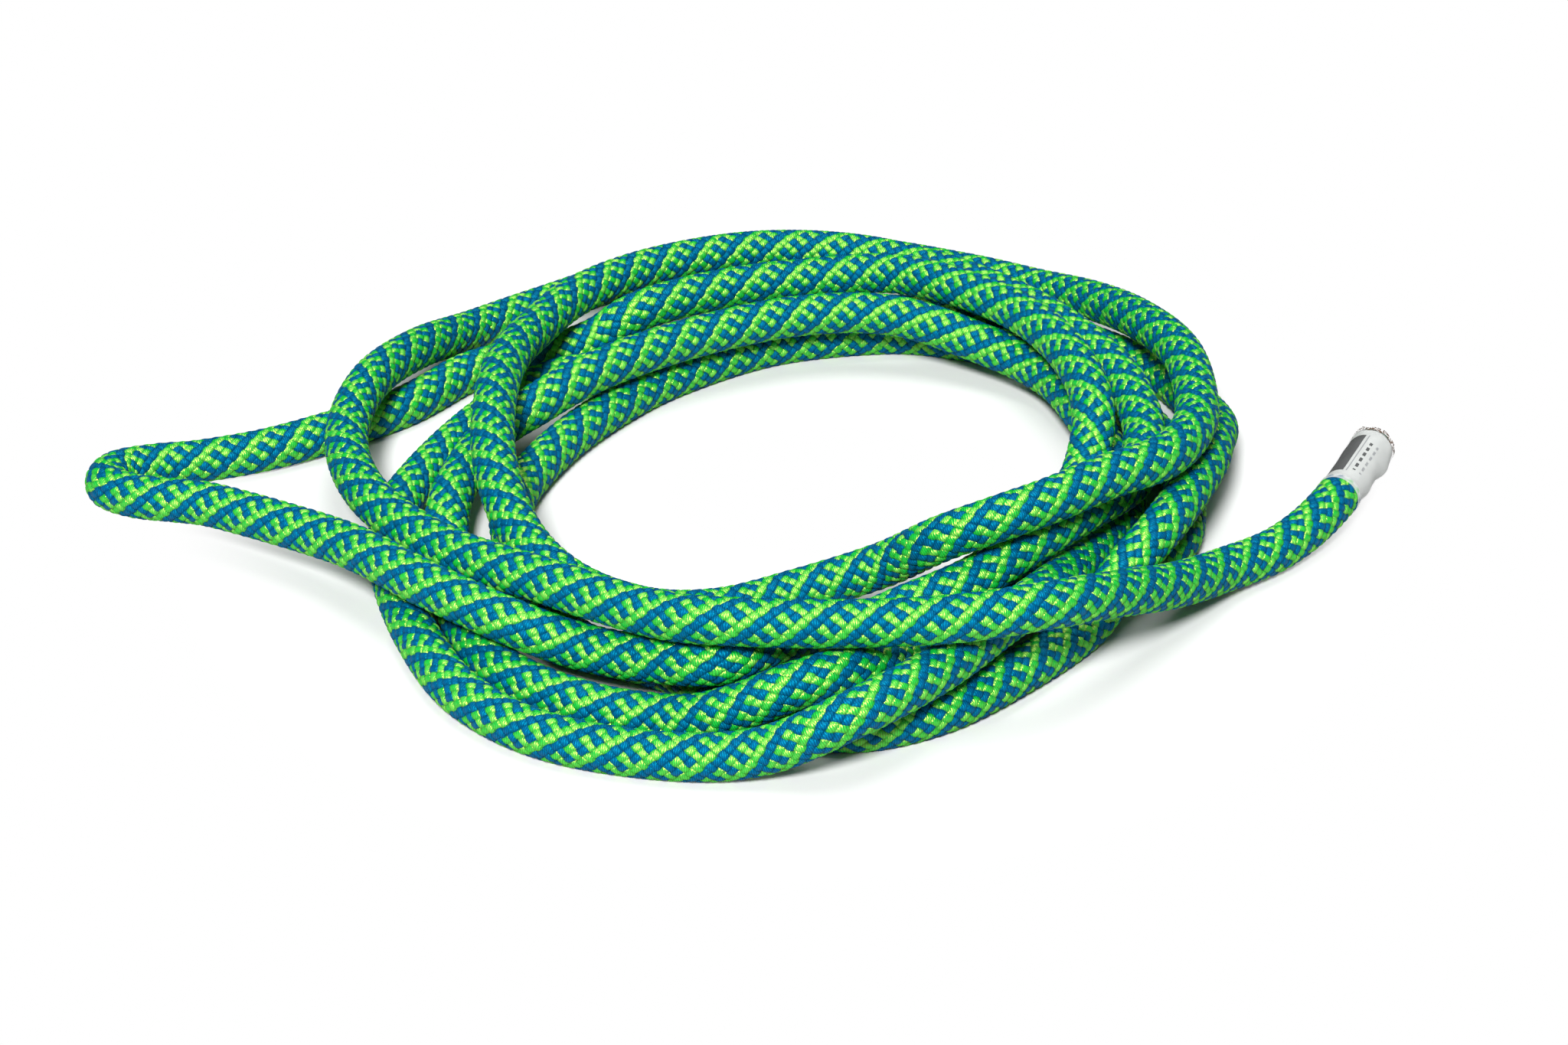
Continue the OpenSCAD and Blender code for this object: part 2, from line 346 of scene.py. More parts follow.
def followingTube():
    tree, given, result = newTree(
        "followingTube", "GeometryNodeTree",
        [("Line", "NodeSocketObject"), ("Start", "NodeSocketFloat"),
         ("End", "NodeSocketFloat"), ("Step", "NodeSocketFloat"),
         ("Radius", "NodeSocketFloat"), ("Sides", "NodeSocketInt"),
         ("Offset", "NodeSocketVector"), ("Floor", "NodeSocketFloat"),
         ("Material", "NodeSocketMaterial")],
        [("Geometry", "NodeSocketGeometry")])
    line = addNode(tree, "GeometryNodeObjectInfo", {"Object": given.outputs["Line"]})
    cut = addNode(tree, "GeometryNodeTrimCurve", {
        "Curve": line.outputs["Geometry"]}, mode="LENGTH")
    tree.links.new(given.outputs["Start"], cut.inputs[4])
    tree.links.new(given.outputs["End"], cut.inputs[5])
    even = addNode(tree, "GeometryNodeResampleCurve", {
        "Curve": cut.outputs[0], "Length": given.outputs["Step"]}, mode="LENGTH")
    ring = addNode(tree, "GeometryNodeCurvePrimitiveCircle", {
        "Resolution": given.outputs["Sides"], "Radius": given.outputs["Radius"]})
    beside = addNode(tree, "GeometryNodeTransform", {
        "Geometry": ring.outputs[0], "Translation": given.outputs["Offset"]})
    tube = addNode(tree, "GeometryNodeCurveToMesh", {
        "Curve": even.outputs[0], "Profile Curve": beside.outputs[0], "Fill Caps": True})
    pressed = layOnFloor(tree, tube.outputs[0], addNode(
        tree, "GeometryNodeInputPosition").outputs[0], given.outputs["Floor"])
    smooth = addNode(tree, "GeometryNodeSetShadeSmooth", {"Geometry": pressed})
    finish = addNode(tree, "GeometryNodeSetMaterial", {
        "Geometry": smooth.outputs[0], "Material": given.outputs["Material"]})
    tree.links.new(finish.outputs[0], result.inputs[0])
    return tree


def layOnFloor(tree, geometry, place, floor):
    # what would reach below the floor is pressed flat on it
    parts = addNode(tree, "ShaderNodeSeparateXYZ", {0: place})
    over = addNode(tree, "ShaderNodeCombineXYZ", {
        0: parts.outputs[0], 1: parts.outputs[1],
        2: calc(tree, "MAXIMUM", parts.outputs[2], floor)})
    moved = addNode(tree, "GeometryNodeSetPosition", {
        "Geometry": geometry, "Position": over.outputs[0]})
    return moved.outputs[0]


tubeTree = followingTube()

coreSizes = {
    "strandRadius": 0.00118,
    "stepOut": 0.0025,                    # from the middle strand to the six round it
    "sides": 10,
    "ringStep": 0.004,
    "short": 0.001,                       # of each end of the rope
    "floor": 0.0005,
}
groundSizes = {
    "radius": 0.00462,
    "sides": 18,
    "ringStep": 0.004,
    "floor": 0.0003,
}


def coreStrand(node, offset, sizes):
    return bakedPiece(node + "_yarn", tubeTree, {
        "Line": guide, "Start": sizes["short"], "End": lineLength - sizes["short"],
        "Step": sizes["ringStep"], "Radius": sizes["strandRadius"],
        "Sides": sizes["sides"], "Offset": offset, "Floor": sizes["floor"],
        "Material": coreNylon})


coreNodes = ["core_middle"] + [f"core_strand_{k + 1}" for k in range(6)]
coreOffsets = [(0, 0, 0)] + [
    (coreSizes["stepOut"] * math.cos(k * math.pi / 3),
     coreSizes["stepOut"] * math.sin(k * math.pi / 3), 0) for k in range(6)]
corePieces = [coreStrand(n, o, coreSizes) for n, o in zip(coreNodes, coreOffsets)]
# the ground tube under the braid, painted near black as the shade between the floats
ground = bakedPiece("sheath_ground", tubeTree, {
    "Line": guide, "Start": 0.0, "End": lineLength, "Step": groundSizes["ringStep"],
    "Radius": groundSizes["radius"], "Sides": groundSizes["sides"],
    "Offset": (0, 0, 0), "Floor": groundSizes["floor"], "Material": shadedBraidGround})
print("core and ground made")


braidSizes = {
    "groups": 12,                         # yarns each way round, a multiple of four
    "pitch": 0.0321,                      # one turn of a yarn along the rope
    "radius": 0.00482,                    # of the yarns' middle surface
    "firstAlong": 0.0238,                 # where the label's film ends
    "short": 0.001,                       # of the plain end
    "stretches": 4,                       # pieces for each colour
    "wander": 0.05,                       # radians that a float may turn off its way
    "floor": 0.00005,
}
# One float: a yarn where it lies over another. Its place is in half floats along its
# own yarn and along the yarn that it crosses; heights are in mm.
floatSizes = {
    "along": (-1.36, -1.12, -0.62, 0.0, 0.62, 1.12, 1.36),
    "drop": (-0.46, -0.14, 0.0, 0.03, 0.0, -0.14, -0.46),
    "across": (-0.97, -0.60, 0.0, 0.60, 0.97),
    "raise": (-0.20, 0.12, 0.20, 0.12, -0.20),
}


def floatMesh(name, hand, halfLong, halfRound, sizes):
    mesh = bpy.data.meshes.new(name)
    rows, columns = len(sizes["along"]), len(sizes["across"])
    points = [((a + c) * halfLong, (a - c) * halfRound * hand, (drop + rise) / 1000)
              for a, drop in zip(sizes["along"], sizes["drop"])
              for c, rise in zip(sizes["across"], sizes["raise"])]
    faces = [(r * columns + c, r * columns + c + 1, (r + 1) * columns + c + 1,
              (r + 1) * columns + c)[::hand] for r in range(rows - 1) for c in range(columns - 1)]
    mesh.from_pydata(points, [], faces)
    uv = mesh.uv_layers.new(name="yarn")
    for loop in mesh.loops:
        row, column = divmod(loop.vertex_index, columns)
        uv.data[loop.index].uv = (row / (rows - 1), column / (columns - 1))
    side = mesh.attributes.new("hand", "FLOAT", "POINT")
    side.data.foreach_set("value", [float(hand)] * len(points))
    piece = bpy.data.objects.new(name, mesh)
    bpy.context.scene.collection.objects.link(piece)
    return piece


def braidTree():
    tree, given, result = newTree(
        "braidedYarns", "GeometryNodeTree",
        [("Line", "NodeSocketObject"), ("One Hand", "NodeSocketObject"),
         ("Other Hand", "NodeSocketObject"),
         ("Groups", "NodeSocketInt"), ("First Row", "NodeSocketInt"),
         ("Rows", "NodeSocketInt"), ("Row Step", "NodeSocketFloat"),
         ("Radius", "NodeSocketFloat"), ("Colour", "NodeSocketInt"),
         ("Wander", "NodeSocketFloat"), ("Floor", "NodeSocketFloat"),
         ("Seed", "NodeSocketInt"), ("Material", "NodeSocketMaterial")],
        [("Geometry", "NodeSocketGeometry")])
    index = addNode(tree, "GeometryNodeInputIndex").outputs[0]
    groups = given.outputs["Groups"]
    radius = given.outputs["Radius"]
    row = calc(tree, "ADD", calc(tree, "FLOOR", calc(tree, "DIVIDE", index, groups)),
               given.outputs["First Row"])
    column = calc(tree, "MODULO", index, groups)
    odd = calc(tree, "MODULO", row, 2.0)
    halfRow = calc(tree, "FLOOR", calc(tree, "MULTIPLY", row, 0.5))
    # Rows with even numbers show the yarns of one hand, two green and two blue in turn.
    # Odd rows show those of the other hand, green and blue by turns.
    oneHand = calc(tree, "FLOORED_MODULO", calc(tree, "ADD", column, halfRow), 4.0)
    otherHand = calc(tree, "FLOORED_MODULO", calc(tree, "SUBTRACT", halfRow, column), 2.0)
    oneGreen = calc(tree, "LESS_THAN", oneHand, 1.5)
    otherGreen = calc(tree, "GREATER_THAN", otherHand, 0.5)
    green = calc(tree, "ADD",
                 calc(tree, "MULTIPLY", oneGreen, calc(tree, "SUBTRACT", 1.0, odd)),
                 calc(tree, "MULTIPLY", otherGreen, odd))
    wanted = calc(tree, "COMPARE", green, given.outputs["Colour"])
    wanted.node.inputs[2].default_value = 0.1
    girth = calc(tree, "MULTIPLY", radius, 2 * math.pi)
    cell = calc(tree, "DIVIDE", girth, groups)
    along = calc(tree, "MULTIPLY", row, given.outputs["Row Step"])
    aroundRope = calc(tree, "MULTIPLY", calc(tree, "ADD", column,
                                         calc(tree, "MULTIPLY", odd, 0.5)), cell)
    flat = addNode(tree, "ShaderNodeCombineXYZ", {0: along, 1: aroundRope})
    points = addNode(tree, "GeometryNodePoints", {
        "Count": calc(tree, "MULTIPLY", given.outputs["Rows"], groups),
        "Position": flat.outputs[0]})
    wander = addNode(tree, "FunctionNodeRandomValue", {
        2: calc(tree, "MULTIPLY", given.outputs["Wander"], -1.0),
        3: given.outputs["Wander"], "Seed": given.outputs["Seed"]}, data_type="FLOAT")
    angles = addNode(tree, "ShaderNodeCombineXYZ", {2: wander.outputs[1]})
    both = addNode(tree, "GeometryNodeJoinGeometry")
    for hand, shown in (("One Hand", calc(tree, "SUBTRACT", 1.0, odd)), ("Other Hand", odd)):
        yarn = addNode(tree, "GeometryNodeObjectInfo", {"Object": given.outputs[hand]})
        laid = addNode(tree, "GeometryNodeInstanceOnPoints", {
            "Points": points.outputs[0], "Selection": calc(tree, "MULTIPLY", wanted, shown),
            "Instance": yarn.outputs["Geometry"], "Rotation": angles.outputs[0]})
        tree.links.new(laid.outputs[0], both.inputs[0])
    real = addNode(tree, "GeometryNodeRealizeInstances", {"Geometry": both.outputs[0]})
    place = addNode(tree, "ShaderNodeSeparateXYZ", {
        0: addNode(tree, "GeometryNodeInputPosition").outputs[0]})
    marked = addNode(tree, "GeometryNodeStoreNamedAttribute", {
        "Geometry": real.outputs[0], "Name": "alongRope"}, data_type="FLOAT")
    tree.links.new(place.outputs[0], marked.inputs["Value"])
    # from the flat lattice round the line
    line = addNode(tree, "GeometryNodeObjectInfo", {"Object": given.outputs["Line"]})
    spot = addNode(tree, "GeometryNodeSampleCurve", {
        "Curves": line.outputs["Geometry"], "Length": place.outputs[0]}, mode="LENGTH")
    turn = calc(tree, "DIVIDE", place.outputs[1], radius)
    side = vectorCalc(tree, "CROSS_PRODUCT", spot.outputs["Tangent"], spot.outputs["Normal"])
    hand = addNode(tree, "GeometryNodeInputNamedAttribute", {"Name": "hand"}, data_type="FLOAT")
    lean = calc(tree, "MULTIPLY", hand.outputs[0], calc(
        tree, "DIVIDE", cell, calc(tree, "MULTIPLY", given.outputs["Row Step"], 2.0)))
    across = vectorCalc(
        tree, "SUBTRACT",
        vectorCalc(tree, "SCALE", side, calc(tree, "COSINE", turn)),
        vectorCalc(tree, "SCALE", spot.outputs["Normal"], calc(tree, "SINE", turn)))
    aimed = addNode(tree, "GeometryNodeStoreNamedAttribute", {
        "Geometry": marked.outputs[0], "Name": "yarnWay"}, data_type="FLOAT_VECTOR")
    tree.links.new(vectorCalc(tree, "NORMALIZE", vectorCalc(
        tree, "ADD", spot.outputs["Tangent"], vectorCalc(tree, "SCALE", across, lean))),
        aimed.inputs["Value"])
    outwards = vectorCalc(
        tree, "ADD",
        vectorCalc(tree, "SCALE", spot.outputs["Normal"], calc(tree, "COSINE", turn)),
        vectorCalc(tree, "SCALE", side, calc(tree, "SINE", turn)))
    reach = calc(tree, "ADD", radius, place.outputs[2])
    wrapped = vectorCalc(tree, "ADD", spot.outputs["Position"],
                         vectorCalc(tree, "SCALE", outwards, reach))
    pressed = layOnFloor(tree, aimed.outputs[0], wrapped, given.outputs["Floor"])
    smooth = addNode(tree, "GeometryNodeSetShadeSmooth", {"Geometry": pressed})
    finish = addNode(tree, "GeometryNodeSetMaterial", {
        "Geometry": smooth.outputs[0], "Material": given.outputs["Material"]})
    tree.links.new(finish.outputs[0], result.inputs[0])
    return tree


def floatMap(piece, vertexCount, margin=0.06):
    # gives each float a square of its own on the map that textures are baked through
    mesh = piece.data
    corner = np.empty(len(mesh.loops), np.int32)
    mesh.loops.foreach_get("vertex_index", corner)
    yarn = np.empty(len(mesh.loops) * 2, np.float32)
    mesh.uv_layers["yarn"].data.foreach_get("uv", yarn)
    number = corner // vertexCount
    across = math.ceil(math.sqrt(number.max() + 1))
    square = np.stack([number % across, number // across], 1)
    inner = margin + (1 - 2 * margin) * yarn.reshape(-1, 2)
    bakeMap = mesh.uv_layers.new(name="OFBake", do_init=False)
    bakeMap.data.foreach_set("uv", ((square + inner) / across).astype(np.float32).ravel())


def braid(sizes, floatShape):
    rowStep = sizes["pitch"] / sizes["groups"] / 2
    halfRound = math.pi * sizes["radius"] / sizes["groups"] / 2
    oneFloat = floatMesh("oneHandFloat", 1, rowStep / 2, halfRound, floatShape)
    otherFloat = floatMesh("otherHandFloat", -1, rowStep / 2, halfRound, floatShape)
    tree = braidTree()
    firstRow = math.ceil(sizes["firstAlong"] / rowStep)
    rows = math.floor((lineLength - sizes["short"]) / rowStep) - firstRow
    cuts = [firstRow + round(rows * k / sizes["stretches"])
            for k in range(sizes["stretches"] + 1)]
    made = []
    for colour, name, material in ((1, "green", greenYarn), (0, "blue", blueYarn)):
        for k in range(sizes["stretches"]):
            piece = bakedPiece(f"{name}_yarns_{k + 1}", tree, {
                "Line": guide, "One Hand": oneFloat, "Other Hand": otherFloat,
                "Groups": sizes["groups"], "First Row": cuts[k], "Rows": cuts[k + 1] - cuts[k],
                "Row Step": rowStep, "Radius": sizes["radius"], "Colour": colour,
                "Wander": sizes["wander"], "Floor": sizes["floor"], "Seed": k,
                "Material": material})
            floatMap(piece, len(oneFloat.data.vertices))
            made.append(piece)
    bpy.data.objects.remove(oneFloat)
    bpy.data.objects.remove(otherFloat)
    return made


braidPieces = braid(braidSizes, floatSizes)
print("braid made:", sum(len(p.data.polygons) for p in braidPieces), "faces")


labelSizes = {
    "length": 0.024,                      # of the printed film
    "wall": 0.0002,
    "inset": 0.00022,                     # of the film in the sleeve
    "sleeveRadius": 0.00515,              # where the sleeve grips the braid
    "neck": 0.0002,                       # how far it draws in beside the braid
    "gripFrom": 0.0222,                   # along the rope, where it begins to grip
    "gripOver": 0.0012,
    "sleeveWall": 0.00014,
    "sleeveEnds": (-0.0011, 0.0251),      # past the rope's end, and over the braid
    "flare": 0.0002,                      # how far it opens at the rope's end
    "flareOver": 0.019,
    "bulges": ((0.0045, 0.0035, 0.0009), (0.0165, 0.002, 0.0004)),   # place, length, height
    "bulgeAt": 3.7,                       # radians round the rope
    "bulgeWide": 0.6,
    "wrinkle": 0.00005,
    "wrinkles": ((3, 700, 0, 1.0), (7, -400, 1, 0.6)),   # round, along, shift and share
    "tightWrinkle": 0.3,                  # share of it at the tight end
    "ragged": 0.0005,                     # of its torn edge
    "tornPart": 8,                        # the tear reaches over one eighth of the sleeve
    "teeth": ((5, 1, 1.0), (11, 0, 0.7), (23, 2, 0.5)),   # round, shift and share
    "sides": 96,
    "step": 0.0005,
    "floor": 0.00005,
}
tipSizes = {
    "radius": 0.0048,
    "face": ((-0.002, 1.0), (0.0, 1.0), (0.0006, 0.99), (0.0011, 0.93), (0.0014, 0.82),
             (0.00145, 0.66), (0.0013, 0.5), (0.0012, 0.34), (0.00115, 0.18), (0.0012, 0.04)),
    "lumps": 0.0002,
    "lumpsOut": 0.4,                      # share of them that goes outwards
    "meltedOver": 0.0011,                 # from the end, where the lumps come in
    "calmMiddle": 3,                      # no full lumps within a third of the radius
    "sides": 48,
    "floor": 0.0003,
}


def unitRows(vectors):
    return vectors / np.linalg.norm(vectors, axis=-1, keepdims=True)


def lineAt(along):
    # the middle line at any distance, and straight on past both its ends
    reach = np.linspace(0, lineLength, len(middleLine))
    place = np.stack([np.interp(along, reach, middleLine[:, k]) for k in range(3)], -1)
    place += np.minimum(along, 0)[..., None] * unitRows(middleLine[1] - middleLine[0])
    over = np.maximum(along - lineLength, 0)[..., None]
    return place + over * unitRows(middleLine[-1] - middleLine[-2])


def roundRope(along, angle, radius, floor, nudge=0.001):
    # points at a radius and an angle, which grows from the left over the top
    way = unitRows(lineAt(along + nudge) - lineAt(along - nudge))
    side = unitRows(np.cross(way, (0, 0, 1)))
    up = np.cross(side, way)
    points = lineAt(along) + radius[..., None] * (
        side * np.cos(angle)[..., None] + up * np.sin(angle)[..., None])
    points[..., 2] = np.maximum(points[..., 2], floor)
    return points


def skinOver(name, points, share, ringed, material):
    # one closed skin over rows of points; a ringed one joins its last row to its first
    rows, columns = points.shape[:2]
    mesh = bpy.data.meshes.new(name)
    faces, spots = [], []
    for r in range(rows if ringed else rows - 1):
        for c in range(columns):
            corners = ((r, c), (r + 1, c), (r + 1, c + 1), (r, c + 1))
            faces.append([i % rows * columns + j % columns for i, j in corners])
            spots += [(share[i % rows], j / columns) for i, j in corners]
    if not ringed:
        for r in (0, rows - 1):
            faces.append([r * columns + c for c in range(columns)])
            spots += [(share[r], c / columns) for c in range(columns)]
    mesh.from_pydata(points.reshape(-1, 3).tolist(), [], faces)
    around = mesh.uv_layers.new(name="around")
    around.data.foreach_set("uv", np.array(spots, np.float32).ravel())
    shape = bmesh.new()
    shape.from_mesh(mesh)
    bmesh.ops.recalc_face_normals(shape, faces=shape.faces)
    shape.to_mesh(mesh)
    shape.free()
    mesh.polygons.foreach_set("use_smooth", [True] * len(mesh.polygons))
    mesh.materials.append(material)
    piece = bpy.data.objects.new(name, mesh)
    bpy.context.scene.collection.objects.link(piece)
    return piece


def sleeveForm(along, angle, sizes):
    # the shrunk film grips the braid, opens towards the rope's end and bulges on one side
    loose = np.clip(1 - along / sizes["flareOver"], 0, 1)
    grip = np.clip((along - sizes["gripFrom"]) / sizes["gripOver"], 0, 1)
    bend = sum(share * np.sin(turns * angle + slant * along + shift)
               for turns, slant, shift, share in sizes["wrinkles"])
    radius = sizes["sleeveRadius"] - sizes["neck"] * (1 - grip) + sizes["flare"] * loose
    for place, length, height in sizes["bulges"]:
        radius = radius + height * np.exp(
            -((along - place) / length) ** 2
            - ((angle - sizes["bulgeAt"]) / sizes["bulgeWide"]) ** 2)
    return radius + sizes["wrinkle"] * bend * (sizes["tightWrinkle"] + loose) * (1 - grip)


def filmTube(name, ends, torn, inset, wall, material, sizes):
    count = round((ends[1] - ends[0]) / sizes["step"]) + 1
    share = np.linspace(0, 1, count)
    angle = np.linspace(0, 2 * math.pi, sizes["sides"], endpoint=False)[None, :]
    edge = sum(tall * np.sin(turns * angle + shift)
               for turns, shift, tall in sizes["teeth"]) / 2
    along = ends[0] + (ends[1] - ends[0]) * share[:, None] + (
        torn * edge * np.clip(1 - share * sizes["tornPart"], 0, 1)[:, None])
    angle = angle + 0 * along
    outer = sleeveForm(along, angle, sizes) - inset
    skin = [roundRope(along, angle, outer, sizes["floor"] + inset),
            roundRope(along, angle, outer - wall, sizes["floor"] + inset + wall)[::-1]]
    return skinOver(name, np.concatenate(skin), np.concatenate([share, share[::-1]]),
                    True, material)


def meltedTip(name, start, way, sizes, material):
    steps = np.array(sizes["face"])
    past, share = steps[:, :1], steps[:, 1:]
    angle = np.linspace(0, 2 * math.pi, sizes["sides"], endpoint=False)[None, :]
    lumps = np.sin(4 * angle + 1) * np.cos(9 * share) + 0.6 * np.sin(7 * angle + 5 * share)
    melted = (np.clip(past / sizes["meltedOver"], 0, 1)
              * np.clip(share * sizes["calmMiddle"], 0, 1))
    along = start + way * (past + sizes["lumps"] * lumps * melted)
    radius = sizes["radius"] * share + sizes["lumpsOut"] * sizes["lumps"] * lumps * melted
    angle = angle + 0 * along
    return skinOver(name, roundRope(along, angle, radius, sizes["floor"]), steps[:, 1],
                    False, material)


def between(tree, value, low, high):
    return calc(tree, "MULTIPLY", calc(tree, "GREATER_THAN", value, low),
                calc(tree, "LESS_THAN", value, high))


def aroundMap(tree):
    # along the piece from 0 to 1, and round it in turns from the left over the top
    place = addNode(tree, "ShaderNodeUVMap", uv_map="around").outputs[0]
    parts = addNode(tree, "ShaderNodeSeparateXYZ", {0: place})
    return parts.outputs[0], parts.outputs[1]


labelLooks = {
    "paper": ((0.50, 0.52, 0.51), (0.66, 0.68, 0.66)),
    "ink": (0.012, 0.013, 0.014),
    "greyInk": (0.30, 0.31, 0.32),
    "roughness": 0.5,
    "printed": (0.12, 0.86),              # where the stripes run, in shares of the length
    "stripe": (0.085, 0.228),             # in turns round the rope
    "thinStripe": (0.248, 0.258),
    "dashRows": ((0.288, 0.312), (0.348, 0.368)),
    "dashed": (0.24, 0.80),               # where the dashes run
    "dashes": 9.0,
    "dashShare": 0.6,                     # of a dash and its gap
    "creaseScale": 450.0,
    "creaseDetail": 3.0,
    "creaseDepth": 0.0002,
    "creaseStrength": 0.35,
}


def labelFilm(looks):
    material, tree, shader = newMaterial("labelFilm", Roughness=looks["roughness"])
    along, around = aroundMap(tree)
    beat = calc(tree, "FRACT", calc(tree, "MULTIPLY", along, looks["dashes"]))
    dashes = calc(tree, "MULTIPLY", between(tree, along, *looks["dashed"]),
                  calc(tree, "LESS_THAN", beat, looks["dashShare"]))
    darkRow, greyRow = [calc(tree, "MULTIPLY", dashes, between(tree, around, *row))
                        for row in looks["dashRows"]]
    inside = between(tree, along, *looks["printed"])
    dark = calc(tree, "MAXIMUM", darkRow, calc(
        tree, "MULTIPLY", inside, between(tree, around, *looks["stripe"])))
    grey = calc(tree, "MAXIMUM", greyRow, calc(
        tree, "MULTIPLY", inside, between(tree, around, *looks["thinStripe"])))
    creases = spotNoise(tree, looks["creaseScale"], looks["creaseDetail"])
    paper = colourMix(tree, creases, *looks["paper"])
    printed = colourMix(tree, grey, paper, looks["greyInk"])
    tree.links.new(colourMix(tree, dark, printed, looks["ink"]), shader.inputs["Base Color"])
    addBump(tree, shader, looks["creaseStrength"], looks["creaseDepth"], creases)
    return material


sleeveLooks = {
    "film": (0.92, 0.95, 0.95),
    "roughness": 0.12,
    "coat": 0.6,
    "solid": 0.06,                        # how little the clear film shows
    "milky": 0.25,                        # how much more it shows where it ends on the braid
    "milkyFrom": 0.93,
    "charred": (0.16, 0.09, 0.05),        # specks by the rope's end
    "charredTo": 0.05,
    "charredOver": 0.53,                  # higher makes fewer of them
    "charredSolid": 0.9,
    "charredScale": 2200.0,
    "creaseScale": 260.0,
    "creaseDepth": 0.0003,
    "creaseStrength": 0.3,
    "detail": 3.0,
}


def clearFilm(looks):
    material, tree, shader = newMaterial(
        "clearFilm", Roughness=looks["roughness"], Coat_Weight=looks["coat"])
    along = aroundMap(tree)[0]
    spots = spotNoise(tree, looks["charredScale"], looks["detail"])
    specks = calc(tree, "MULTIPLY", calc(tree, "LESS_THAN", along, looks["charredTo"]),
                  calc(tree, "GREATER_THAN", spots, looks["charredOver"]))
    tree.links.new(colourMix(tree, specks, looks["film"], looks["charred"]),
                   shader.inputs["Base Color"])
    milky = calc(tree, "MULTIPLY", calc(tree, "GREATER_THAN", along, looks["milkyFrom"]),
                 looks["milky"])
    solid = calc(tree, "MAXIMUM", calc(tree, "ADD", milky, looks["solid"]), calc(
        tree, "MULTIPLY", specks, looks["charredSolid"]))
    tree.links.new(solid, shader.inputs["Alpha"])
    addBump(tree, shader, looks["creaseStrength"], looks["creaseDepth"],
            spotNoise(tree, looks["creaseScale"], looks["detail"]))
    return material


tipLooks = {
    "rim": ((0.004, 0.04, 0.05), (0.02, 0.26, 0.10)),
    "core": ((0.20, 0.21, 0.19), (0.62, 0.61, 0.55)),
    "coreTo": 0.72,                       # share of the radius where the core shows
    "uneven": 0.5,                        # how unevenly it ends there
    "roughness": 0.33,
    "spotScale": 900.0,
    "spotDetail": 4.0,
    "spotDepth": 0.0003,
    "spotStrength": 0.6,
}


def meltedNylon(looks):
    # the dyed sheath runs dark round the edge, and the white core shows in the middle
    material, tree, shader = newMaterial("meltedNylon", Roughness=looks["roughness"])
    outwards = aroundMap(tree)[0]
    spots = spotNoise(tree, looks["spotScale"], looks["spotDetail"])
    shifted = calc(tree, "ADD", outwards, calc(
        tree, "MULTIPLY", calc(tree, "SUBTRACT", spots, 0.5), looks["uneven"]))
    core = calc(tree, "LESS_THAN", shifted, looks["coreTo"])
    rim = colourMix(tree, spots, *looks["rim"])
    middle = colourMix(tree, spots, *looks["core"])
    tree.links.new(colourMix(tree, core, rim, middle), shader.inputs["Base Color"])
    addBump(tree, shader, looks["spotStrength"], looks["spotDepth"], spots)
    return material


tipMaterial = meltedNylon(tipLooks)
label = filmTube("printed_label", (0.0, labelSizes["length"]), 0.0, labelSizes["inset"],
                 labelSizes["wall"], labelFilm(labelLooks), labelSizes)
sleeve = filmTube("clear_film", labelSizes["sleeveEnds"], labelSizes["ragged"], 0.0,
                  labelSizes["sleeveWall"], clearFilm(sleeveLooks), labelSizes)
labelledTip = meltedTip("labelled_melted_tip", 0.0, -1, tipSizes, tipMaterial)
plainTip = meltedTip("plain_melted_tip", lineLength, 1, tipSizes, tipMaterial)
print("label and tips made")


bpy.data.objects.remove(guide)
for piece, node in zip(corePieces, coreNodes):
    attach(piece, "root")
    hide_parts(node)
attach(ground, "root")
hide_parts("sheath")
for piece in braidPieces:
    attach(piece, "root")
endPieces = [(label, "label", "label"), (sleeve, "clear_sleeve", "clear_sleeve"),
             (labelledTip, "labelled_tip", "tip"), (plainTip, "plain_tip", "tip")]
for piece, node, slot in endPieces:
    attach(piece, "root")
    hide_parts(node)


stageSizes = {
    "half": 4.0,
    "colour": 0.8,
    "roughness": 0.9,
    "mirrored": 0.2,                      # share of it that glossy things reflect
    "fill": 0.12,                         # light from all round
}
# The camera sees the floor plain white past the outer oval and within the inner one.
# An oval has its middle, its half lengths, and the shares of them between which the
# white comes in.
ovalSizes = {
    "outer": ((0.008, 0.0), (0.108, 0.115), (0.95, 1.3)),
    "inner": ((0.022, 0.0), (0.068, 0.047), (1.0, 0.6)),
}


def ovalReach(tree, place, middle, halves, fade):
    # nothing at the first share of the oval, rising to one at the second
    away = vectorCalc(tree, "SUBTRACT", place, (*middle, 0))
    scaled = vectorCalc(tree, "MULTIPLY", away, (1 / halves[0], 1 / halves[1], 0))
    reach = addNode(tree, "ShaderNodeVectorMath", {0: scaled}, operation="LENGTH")
    return addNode(tree, "ShaderNodeMapRange", {
        "Value": reach.outputs["Value"], "From Min": fade[0], "From Max": fade[1]},
        interpolation_type="SMOOTHSTEP").outputs[0]


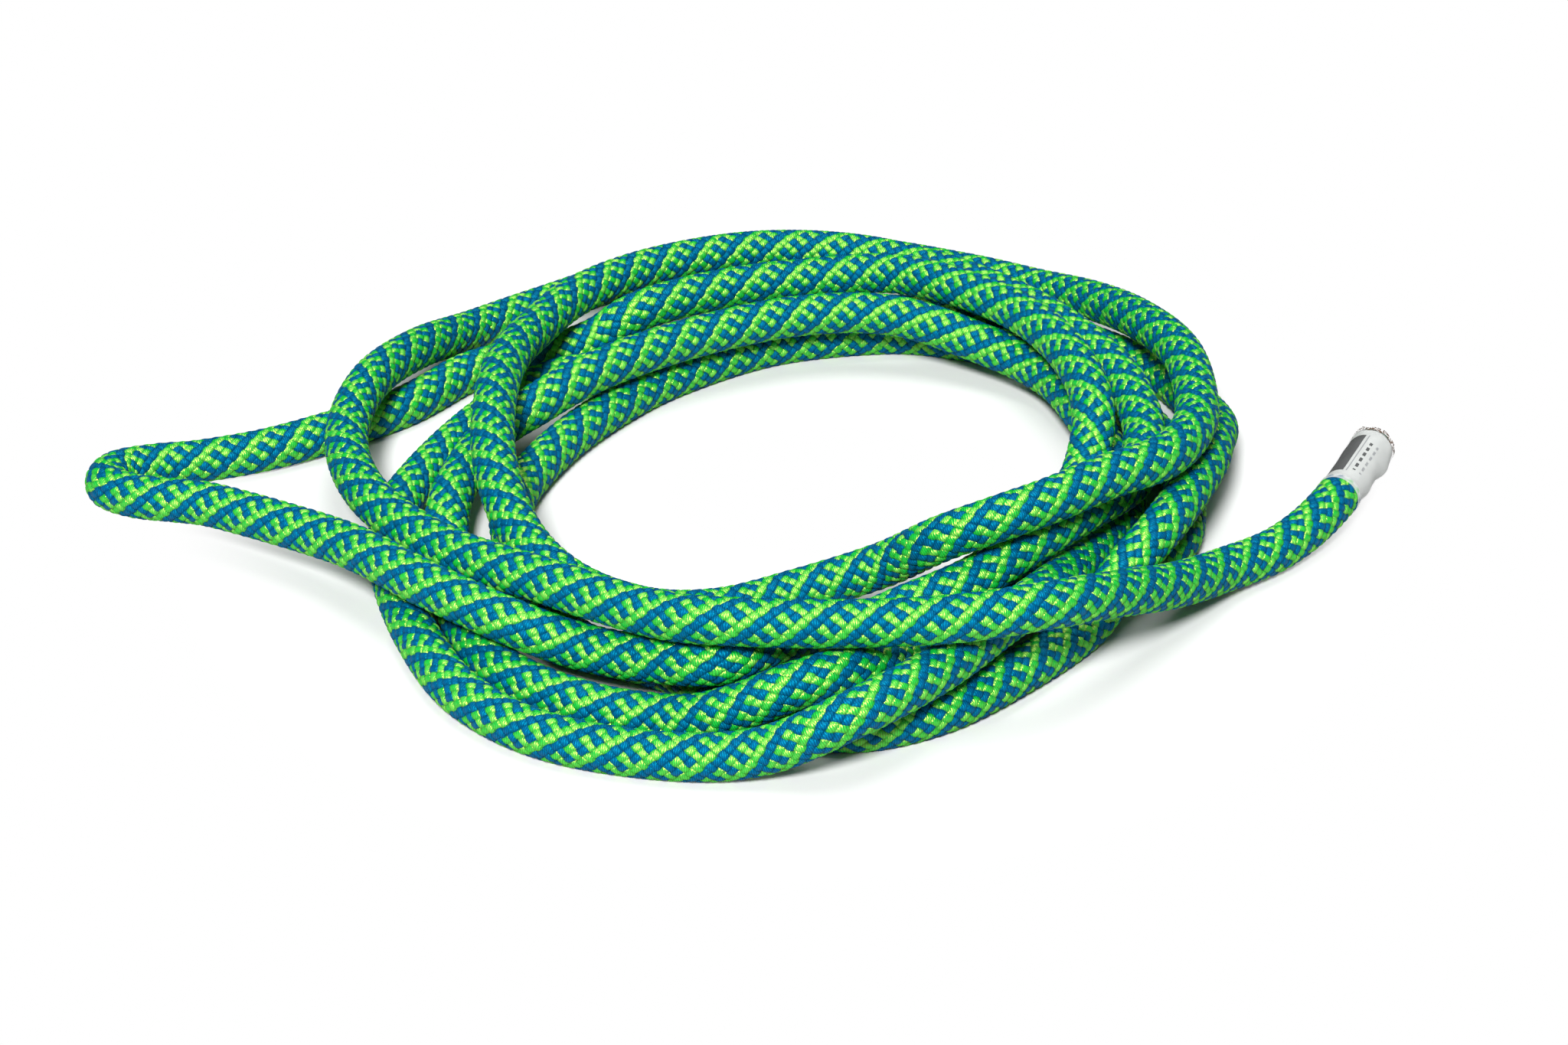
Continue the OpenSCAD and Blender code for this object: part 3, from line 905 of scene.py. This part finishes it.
def makeFloor(sizes, ovals):
    mesh = bpy.data.meshes.new("floor")
    half = sizes["half"]
    mesh.from_pydata([(-half, -half, 0), (half, -half, 0), (half, half, 0), (-half, half, 0)],
                     [], [(0, 1, 2, 3)])
    floor = bpy.data.objects.new("floor", mesh)
    bpy.context.scene.collection.objects.link(floor)
    material, tree, shader = newMaterial("paleFloor", Roughness=sizes["roughness"])
    path = addNode(tree, "ShaderNodeLightPath")
    colour = addNode(tree, "ShaderNodeMapRange", {
        "Value": path.outputs["Is Glossy Ray"], "To Min": sizes["colour"],
        "To Max": sizes["colour"] * sizes["mirrored"]}).outputs[0]
    tree.links.new(colour, shader.inputs["Base Color"])
    seen = path.outputs["Is Camera Ray"]
    place = addNode(tree, "ShaderNodeTexCoord").outputs["Object"]
    outside = ovalReach(tree, place, *ovals["outer"])
    inside = ovalReach(tree, place, *ovals["inner"])
    far = calc(tree, "MAXIMUM", outside, inside)
    glow = addNode(tree, "ShaderNodeEmission", {"Strength": 1.0})
    both = addNode(tree, "ShaderNodeMixShader", {
        0: calc(tree, "MULTIPLY", seen, far), 1: shader.outputs[0], 2: glow.outputs[0]})
    tree.links.new(both.outputs[0], tree.nodes["Material Output"].inputs[0])
    mesh.materials.append(material)


def makeWorld(fill):
    world = bpy.data.worlds.new("studio")
    world.use_nodes = True
    tree = world.node_tree
    tree.nodes.clear()
    path = addNode(tree, "ShaderNodeLightPath")
    seen = calc(tree, "MAXIMUM", path.outputs["Is Camera Ray"],
                path.outputs["Is Transmission Ray"])
    strength = calc(tree, "MAXIMUM", seen, calc(
        tree, "MULTIPLY", path.outputs["Is Diffuse Ray"], fill))
    light = addNode(tree, "ShaderNodeBackground", {"Strength": strength})
    out = addNode(tree, "ShaderNodeOutputWorld")
    tree.links.new(light.outputs[0], out.inputs[0])
    bpy.context.scene.world = world


lampSizes = {
    "key": {"place": (-0.3, -1.5, 1.55), "target": (0, 0, 0), "size": 0.5, "power": 60},
    "top": {"place": (0.15, 0.25, 1.8), "target": (0, 0, 0), "size": 1.2, "power": 17},
}


def areaLight(name, place, target, size, power):
    lamp = bpy.data.objects.new(name, bpy.data.lights.new(name, "AREA"))
    lamp.data.shape = "DISK"
    lamp.data.size = size
    lamp.data.energy = power
    lamp.location = place
    aim = np.array(target, float) - place
    lamp.rotation_euler = (math.acos(-aim[2] / np.linalg.norm(aim)), 0,
                           math.atan2(aim[1], aim[0]) - math.pi / 2)
    bpy.context.scene.collection.objects.link(lamp)


makeFloor(stageSizes, ovalSizes)
makeWorld(stageSizes["fill"])
for lampName, lamp in lampSizes.items():
    areaLight(lampName, **lamp)
bpy.context.scene.view_settings.view_transform = "Standard"

print("scene made")
